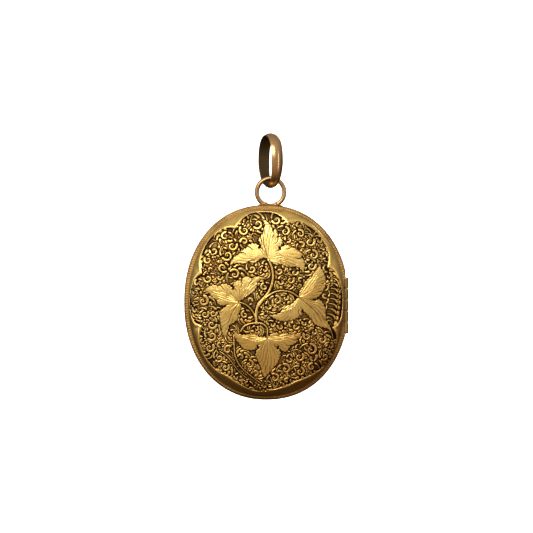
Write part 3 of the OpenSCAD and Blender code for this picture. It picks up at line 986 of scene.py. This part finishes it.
def paper(name, light, dark, spot):
    paint = Paint(name)
    fibre = paint.noise(1.0, 4, 0.6, paint.stretch((900, 900, 2600), (0.1, 0.2, 0.4)))
    clouds = paint.band(paint.noise(90, 4), 0.35, 0.7)
    foxing = paint.band(paint.noise(480, 3, 0.7), 0.66, 0.76)
    colour = paint.mix(clouds, light, dark)
    colour = paint.mix(paint.math("MULTIPLY", foxing, 0.7), colour, spot)
    roughness = paint.band(fibre, 0.3, 0.7, 0.72, 0.92)
    paint.put(Base_Color=colour, Roughness=roughness, Normal=paint.bump(fibre, 0.35, 0.00003))
    return paint.material


# painted shade of the fine cuts in the leaves
ENGRAVED_CUT_SHADE = (0.09, 0.045, 0.015)
# brown and near-black for the hollows: grime and painted shade
GRIME_AND_SHADE_TONES = ((0.24, 0.12, 0.035), (0.022, 0.011, 0.005))
# the last colour of the cover and rim gold is the painted shade towards the lower right
COVER_GOLD = old_gold("engraved_gold", (0.95, 0.66, 0.21), (0.84, 0.53, 0.14), 0.20, 0.12, GRIME_AND_SHADE_TONES, True,
                      (0.64, 0.33, 0.085))
# a darker copy of the gold, painted shade on the case's edge; the snap lip takes it too
RIM_SHADE_GOLD = old_gold("rim_shade_gold", (0.44, 0.25, 0.075), (0.25, 0.13, 0.035), 0.28, 0.16,
                    lower_right_shade=(0.24, 0.11, 0.03))
# the gold painted darker, as shade, so the hinge barrel stays dark at the case's right
HINGE_SHADE_GOLD = old_gold("hinge_shade_gold", (0.36, 0.21, 0.07), (0.22, 0.12, 0.04), 0.32, 0.14)
BEZEL_GOLD = old_gold("polished_bezel_gold", (0.94, 0.70, 0.32), (0.85, 0.60, 0.22), 0.14, 0.10)
PIN_GOLD = old_gold("drawn_pin_gold", (0.76, 0.52, 0.22), (0.62, 0.40, 0.16), 0.32, 0.14)
# its hollow tones paint the bail's inner face dark, as painted shade with grime
BAIL_GOLD = old_gold("worn_rose_gold", (0.60, 0.37, 0.18), (0.44, 0.25, 0.11), 0.19, 0.08,
                     ((0.26, 0.16, 0.075), (0.10, 0.065, 0.030)))
ROSE_GOLD = old_gold("rose_gold", (0.58, 0.36, 0.17), (0.40, 0.23, 0.10), 0.22, 0.12)
GLASS = glass()
PAPER = paper("aged_paper", (0.44, 0.37, 0.26), (0.33, 0.26, 0.16), (0.20, 0.12, 0.05))
CARD = paper("brown_pasteboard", (0.50, 0.39, 0.27), (0.40, 0.30, 0.20), (0.26, 0.17, 0.10))


def stand_in(piece, body, node, material):
    """Puts a piece on its body, in the place of the CAD node that it replaces."""
    outward(piece)
    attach(piece, body)
    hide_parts(node)
    dress(piece, material)


# ---------- covers ----------


def engraved_covers():
    relief, height, marks = front_relief()
    marks["grime_and_shade_share"] = cavity_of(height)
    front = cover_piece("front_cover_engraved", relief, height, marks, FRONT_CELLS, 0.12, 1)
    stand_in(front, "cover", "front_cover", COVER_GOLD)
    relief, height = back_relief()
    marks = {"grime_and_shade_share": cavity_of(height)}
    back = cover_piece("back_cover_engraved", relief, height, marks, BACK_CELLS, 0.5, -1)
    stand_in(back, "case", "back_cover", COVER_GOLD)


# ---------- rims, lip and bezels ----------

RIM_SECTION = [
    (0.00, 0.40), (0.02, 0.24), (0.08, 0.13), (0.18, 0.07), (0.32, 0.05), (2.10, 0.05), (2.10, 0.50),
    (4.55, 0.50), (4.60, 0.55), (4.60, 0.85), (4.55, 0.90), (2.00, 0.90), (1.00, 0.90), (0.86, 0.86),
    (0.78, 0.78), (0.66, 0.80), (0.52, 0.80), (0.38, 0.77), (0.25, 0.71), (0.14, 0.63), (0.05, 0.53),
]
TICK_FROM, TICK_TO = 0.04, 0.70     # insets between which the rim's ledge is ticked
TICK_PITCH = 0.52
TICK_DEPTH = 0.15


def rim_piece(name, node, body, side):
    """Rim with a ticked edge, cut for the hinge's barrel, on the front (1) or back (-1)."""
    count = 1440
    section = np.array(RIM_SECTION)
    ledge = (section[:, 0] > TICK_FROM) & (section[:, 0] < TICK_TO) & (section[:, 1] > 0.5)
    ticks = round(2.95 * (HALF_W + HALF_H) / TICK_PITCH)

    def tick(step):
        lean = 0.35 * (section[:, 0] - TICK_FROM)
        phase = (step / count * ticks + lean / TICK_PITCH) % 1
        sunk = np.clip(1 - np.abs(phase - 0.5) / 0.27, 0, 1)
        return np.stack([np.zeros(len(section)), -TICK_DEPTH * sunk * ledge], 1)

    piece = sweep(name, RIM_SECTION, HALF_W, HALF_H, count, tick, side)
    outward(piece)
    knuckle_pitch = BARREL_L / KNUCKLES
    cutters = []
    for i in range(KNUCKLES):
        own = (i % 2 == 1) == (side == 1)
        low = HINGE_Z - BARREL_L / 2 + i * knuckle_pitch - KNUCKLE_GAP
        radius = BARREL_R if own else BARREL_R + FIT
        cutters.append(barrel(HINGE_X, low, low + knuckle_pitch + 2 * KNUCKLE_GAP, radius))
    half = BARREL_L / 2 + KNUCKLE_GAP
    beyond = HINGE_X + 4
    cutters.append(block((HINGE_X - BARREL_R / 2, -2, HINGE_Z - half), (beyond, 2, HINGE_Z + half)))
    cutters.append(block((HINGE_X, -2, -BARREL_L), (beyond, 2, BARREL_L)))
    if side == 1:
        nail_x = -HALF_W - NAIL_R + NAIL_DEPTH
        cutters.append(barrel(nail_x, NAIL_DEPTH, -1.0, NAIL_R, along_depth=True))
    cut_with(piece, cutters)
    stand_in(piece, body, node, RIM_SHADE_GOLD)


def oval_frames():
    """The snap lip and the two beaded bezels."""
    lip = [
        (2.17, -0.50), (2.49, -0.50), (2.49, 0.34), (2.46, 0.39), (2.40, 0.42), (2.30, 0.42),
        (2.21, 0.38), (2.17, 0.30),
    ]
    piece = sweep("snap_lip_wall", lip, HALF_W, HALF_H, 480)
    stand_in(piece, "case", "snap_lip", RIM_SHADE_GOLD)

    bezel = [
        (2.58, 0.46), (2.62, 0.30), (2.72, 0.20), (2.90, 0.15), (3.60, 0.15), (4.20, 0.19), (4.50, 0.24),
        (4.75, 0.23), (4.88, 0.18), (5.02, 0.15), (5.18, 0.15), (5.32, 0.19), (5.44, 0.28), (5.52, 0.40),
        (5.53, 0.48), (5.48, 0.50), (4.99, 0.50), (4.985, 1.90), (4.95, 1.94), (4.67, 1.94), (4.64, 1.90),
        (4.64, 0.50), (2.62, 0.50),
    ]
    section = np.array(bezel)
    bead = (section[:, 0] > 4.8) & (section[:, 1] < 0.45)
    beads, count = 150, 1500

    def grain(step):
        swell = 0.045 * (1 - abs(math.sin(math.pi * beads * step / count)))
        return np.stack([np.zeros(len(section)), swell * bead], 1)

    for name, node, body, side in (("front_bezel_beaded", "front_bezel", "cover", 1),
                                   ("back_bezel_beaded", "back_bezel", "case", -1)):
        piece = sweep(name, bezel, HALF_W, HALF_H, count, grain, side)
        stand_in(piece, body, node, BEZEL_GOLD)


# ---------- hinge ----------


def lathe(name, profile, x, count=40):
    """Turned piece round the hinge's axis from a closed profile of (radius, z) points."""
    rows = []
    for k in range(count):
        a = 2 * math.pi * k / count
        r, z = np.array(profile).T
        rows.append(to_frame(x + r * math.cos(a), r * math.sin(a), z))
    return tube(name, rows)


def hinge():
    names = [
        ("hinge_knuckle_bottom", "case"), ("front_knuckle_lower", "cover"),
        ("hinge_knuckle_middle", "case"),
        ("front_knuckle_upper", "cover"), ("hinge_knuckle_top", "case"),
    ]
    step = BARREL_L / KNUCKLES
    for i, (node, body) in enumerate(names):
        low = HINGE_Z - BARREL_L / 2 + i * step + KNUCKLE_GAP / 2
        high = low + step - KNUCKLE_GAP
        inner, outer = PIN_R + 0.02, BARREL_R
        profile = [(inner, low), (outer - 0.10, low), (outer - 0.03, low + 0.03)]
        profile += [(outer, z) for z in np.linspace(low + 0.10, high - 0.10, 7)]
        profile += [(outer - 0.03, high - 0.03), (outer - 0.10, high), (inner, high)]
        piece = lathe(node + "_turned", profile, HINGE_X)
        stand_in(piece, body, node, HINGE_SHADE_GOLD)
    low, high = HINGE_Z - BARREL_L / 2, HINGE_Z + BARREL_L / 2
    profile = [(0.001, low - 0.06), (0.16, low - 0.05), (0.28, low), (PIN_R, low + 0.08)]
    profile += [(PIN_R, z) for z in np.linspace(low + 0.5, high - 0.5, 9)]
    profile += [(PIN_R, high - 0.08), (0.28, high), (0.16, high + 0.05), (0.001, high + 0.06)]
    piece = lathe("hinge_pin_rounded", profile, HINGE_X, 24)
    stand_in(piece, "case", "hinge_pin", PIN_GOLD)


# ---------- bail, ring and foot ----------


def bail():
    """Rounded band carried round an upright loop that is turned about z, wider at its top."""
    stations, across, flat = 240, 22, 9
    b = np.linspace(0, np.pi, across)
    crown = 0.08 + 0.10 * np.sin(b) ** 0.3 + (BAIL_T - 0.18) * np.sin(b) ** 2
    outside = np.stack([-np.cos(b) / 2, crown], 1)
    inside = np.stack([np.linspace(0.47, -0.47, flat), np.zeros(flat)], 1)
    section = np.concatenate([outside, inside])
    a = np.linspace(0, 2 * np.pi, stations, endpoint=False)
    v, z = oval(LOOP_V, LOOP_Z, a, BAIL_POWER)
    nv, nz = outward_of(v, z)
    wide = BAIL_W + (BAIL_TOP_W - BAIL_W) * smooth((1 + z / LOOP_Z) / 2, 0.0, 0.5)
    turn = math.radians(BAIL_TURN)
    rows = []
    for k in range(stations):
        out = section[:, 1] * (1 + 0.015 * math.sin(3 * a[k]) + 0.01 * math.sin(7 * a[k] + 1))
        along = v[k] + nv[k] * out
        up = z[k] + nz[k] * out - LOOP_Z
        side = section[:, 0] * wide[k]
        x = side * math.cos(turn) - along * math.sin(turn)
        y = side * math.sin(turn) + along * math.cos(turn)
        rows.append(np.stack([x, y, up], 1) * MM)
    piece = tube("bail_band", rows)
    # painted shade: the band's whole inner face is marked as a hollow, so it is painted dark, with grime
    face = np.zeros((stations, len(section)))
    face[:, across:] = 1
    paint(piece, "grime_and_shade_share", face.ravel())
    stand_in(piece, "bail", "bail", BAIL_GOLD)


CLEARANCE = 0.005           # that the ring and its foot keep over the case's edge


def case_top(x):
    """Height in row millimetres of the case's outline over a place near its top."""
    share = np.clip(np.abs(x - CASE_X / MM) / HALF_W, 0, 1)
    return CASE_Z / MM + HALF_H * (1 - share ** SQUARENESS) ** (1 / SQUARENESS)


def ring_and_foot():
    steps, across = 160, 28
    rows = []
    for k in range(steps):
        a = 2 * math.pi * k / steps
        b = np.linspace(0, 2 * np.pi, across, endpoint=False)
        wire = WIRE_R * (1 - 0.05 * np.exp(-((a - math.pi / 2) / 0.35) ** 2))
        r = RING_R + wire * np.cos(b)
        x, y, z = r * math.cos(a), wire * np.sin(b), RING_Z + r * math.sin(a)
        rows.append(np.stack([x, y, np.maximum(z, case_top(x) + CLEARANCE)], 1) * MM)
    piece = tube("suspension_ring_wire", rows)
    stand_in(piece, "case", "suspension_ring", ROSE_GOLD)

    low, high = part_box("ring_foot")
    depth_mid, depth_half = (low.y + high.y) / 2 / MM, (high.y - low.y) / 2 / MM
    half = (high.x - low.x) / 2 / MM
    stations, around = 61, 24
    rows = []
    b = np.linspace(0, 2 * np.pi, around, endpoint=False)
    for x in np.linspace(-half, half, stations):
        swell = 0.14 + 0.16 * math.sqrt(max(1 - (x / half) ** 2, 0))
        fillet = 0.55 * math.exp(-((abs(x) - 1.15) / 0.42) ** 2)
        top = swell + fillet
        taper = 0.55 + 0.45 * math.sqrt(max(1 - (x / half) ** 4, 0))
        across_y = depth_mid + depth_half * taper * np.sign(np.cos(b)) * np.abs(np.cos(b)) ** 0.7
        up = top / 2 * (1 + np.sign(np.sin(b)) * np.abs(np.sin(b)) ** 0.8)
        ring_x = np.full(around, x)
        rows.append(np.stack([ring_x, across_y, case_top(ring_x) + CLEARANCE + up], 1) * MM)
    points = np.concatenate(rows)
    ends = np.stack([rows[0].mean(0), rows[-1].mean(0)])
    faces = [tuple(q) for q in loop_faces(stations, around, False, True)]
    last = len(points) - around
    faces += [(len(points), (i + 1) % around, i) for i in range(around)]
    faces += [(len(points) + 1, last + i, last + (i + 1) % around) for i in range(around)]
    piece = add_mesh("ring_foot_solder", np.concatenate([points, ends]), faces)
    stand_in(piece, "case", "ring_foot", ROSE_GOLD)


engraved_covers()
rim_piece("front_rim_ticked", "front_rim", "cover", 1)
rim_piece("back_rim_ticked", "back_rim", "case", -1)
oval_frames()
hinge()
bail()
ring_and_foot()
for node in ("front_glass", "back_glass"):
    dress(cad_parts[node], GLASS)
for node in ("front_picture", "back_picture"):
    dress(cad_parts[node], PAPER)
for node in ("front_card", "back_card"):
    dress(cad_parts[node], CARD)


# ---------- stage, light and camera ----------


def stage():
    """Round pale floor that turns up into a curtain all round, so every view has the same ground."""
    floor_z, radius, fillet, top, count = -0.100, 1.35, 0.30, 1.5, 96
    profile = [(0.25, floor_z), (0.7, floor_z), (radius - fillet, floor_z)]
    for degrees in range(10, 91, 10):
        a = math.radians(degrees)
        profile.append((radius - fillet + fillet * math.sin(a), floor_z + fillet * (1 - math.cos(a))))
    profile.append((radius, top))
    points = [(0, 0, floor_z)]
    for r, z in profile:
        points += [(r * math.cos(2 * math.pi * k / count), r * math.sin(2 * math.pi * k / count), z)
                   for k in range(count)]
    faces = [(0, 1 + k, 1 + (k + 1) % count) for k in range(count)]
    faces += [tuple(1 + q) for q in loop_faces(len(profile), count, False, True)[:, ::-1]]
    sweep_sheet = add_mesh("studio_sweep", points, faces)
    wall = Paint("studio_paper")
    tone = wall.band(wall.noise(3, 2), 0.3, 0.7)
    colour = wall.mix(tone, (0.90, 0.90, 0.89), (0.87, 0.87, 0.86))
    wall.put(Base_Color=colour, Roughness=0.85, Emission_Color=(1, 1, 1), Emission_Strength=SWEEP_GLOW)
    dress(sweep_sheet, wall.material)
    sweep_sheet.visible_glossy = False


def area_light(name, place, aim, size, power, colour=(1, 1, 1)):
    light = bpy.data.lights.new(name, "AREA")
    light.shape = "RECTANGLE"
    light.size, light.size_y = size
    light.energy = power
    light.color = colour
    lamp = add_object(name, light)
    lamp.location = place
    lamp.rotation_euler = (Vector(aim) - Vector(place)).to_track_quat("-Z", "Y").to_euler()


def studio():
    world = bpy.data.worlds.new("studio")
    world.use_nodes = True
    sky = Nodes(world.node_tree, "Generated")

    def glow(axis, low, high, most):
        return sky.band(sky.axis(axis), low, high, 0.0, most, "SMOOTHSTEP")

    above_and_front = sky.math("ADD", glow("Z", -0.25, 0.9, SKY_GLOW), glow("Y", 0.6, -1.0, FRONT_GLOW))
    shaded = sky.math("MULTIPLY", above_and_front, glow("Z", -0.95, -0.30, 1.0))
    background = sky.tree.nodes["Background"]
    sky.feed(background.inputs["Strength"], sky.math("ADD", shaded, LOW_GLOW))
    tint = sky.mix(glow("Z", -0.6, 0.3, 1.0), LOW_TINT, HIGH_TINT)
    sky.feed(background.inputs["Color"], tint)
    bpy.context.scene.world = world
    aim = (CASE_X, CASE_Y, CASE_Z)
    area_light("key_above_front", (-0.20, -0.72, 0.32), aim, (0.56, 0.32), 3.5)
    area_light("side_left", (-0.60, -0.30, 0.05), aim, (0.18, 0.50), 0.6)
    area_light("back_fill", (0.25, 0.80, 0.25), aim, (0.50, 0.40), 1.8)
    area_light("side_right", (0.62, -0.48, -0.02), aim, (0.07, 0.45), 0.50, (1, 0.94, 0.86))


def camera():
    lens = bpy.data.cameras.new("camera")
    lens.sensor_width = 36
    lens.lens = 36 * CAMERA_AWAY / FRAME_WIDE
    lens.clip_start, lens.clip_end = 0.01, 10
    view = add_object("camera", lens)
    view.location = (CASE_X, CASE_Y - CAMERA_AWAY, AIM_Z)
    view.rotation_euler = (math.radians(90), 0, 0)
    bpy.context.scene.camera = view


stage()
studio()
camera()
bpy.context.scene.view_settings.view_transform = "Standard"
